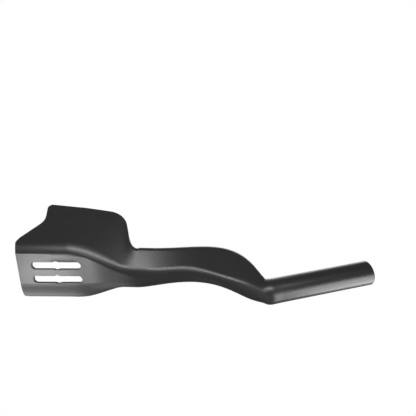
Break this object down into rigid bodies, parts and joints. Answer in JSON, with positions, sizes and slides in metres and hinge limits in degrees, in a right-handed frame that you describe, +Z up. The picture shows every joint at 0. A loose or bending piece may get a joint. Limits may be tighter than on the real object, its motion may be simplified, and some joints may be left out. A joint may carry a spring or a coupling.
{
  "type": "aero handlebar extension",
  "caption": "Moulded carbon aero handlebar extension for the right arm: slotted forearm cup with a tall outer wall, twisted hollow neck and cranked round grip tube.",
  "frame": {"origin": "centre of the slot pattern on the underside of the cup's floor", "axes": "+X forward along the bike, +Y inboard (to the rider's left), +Z up as mounted"},
  "size_m": [0.3258, 0.08, 0.0687],
  "materials": {
    "carbon_laminate": "matte clear coat over dark carbon fibre laminate"
  },
  "bodies": {
    "root": {"extension_body": "carbon_laminate"}
  },
  "joints": []
}
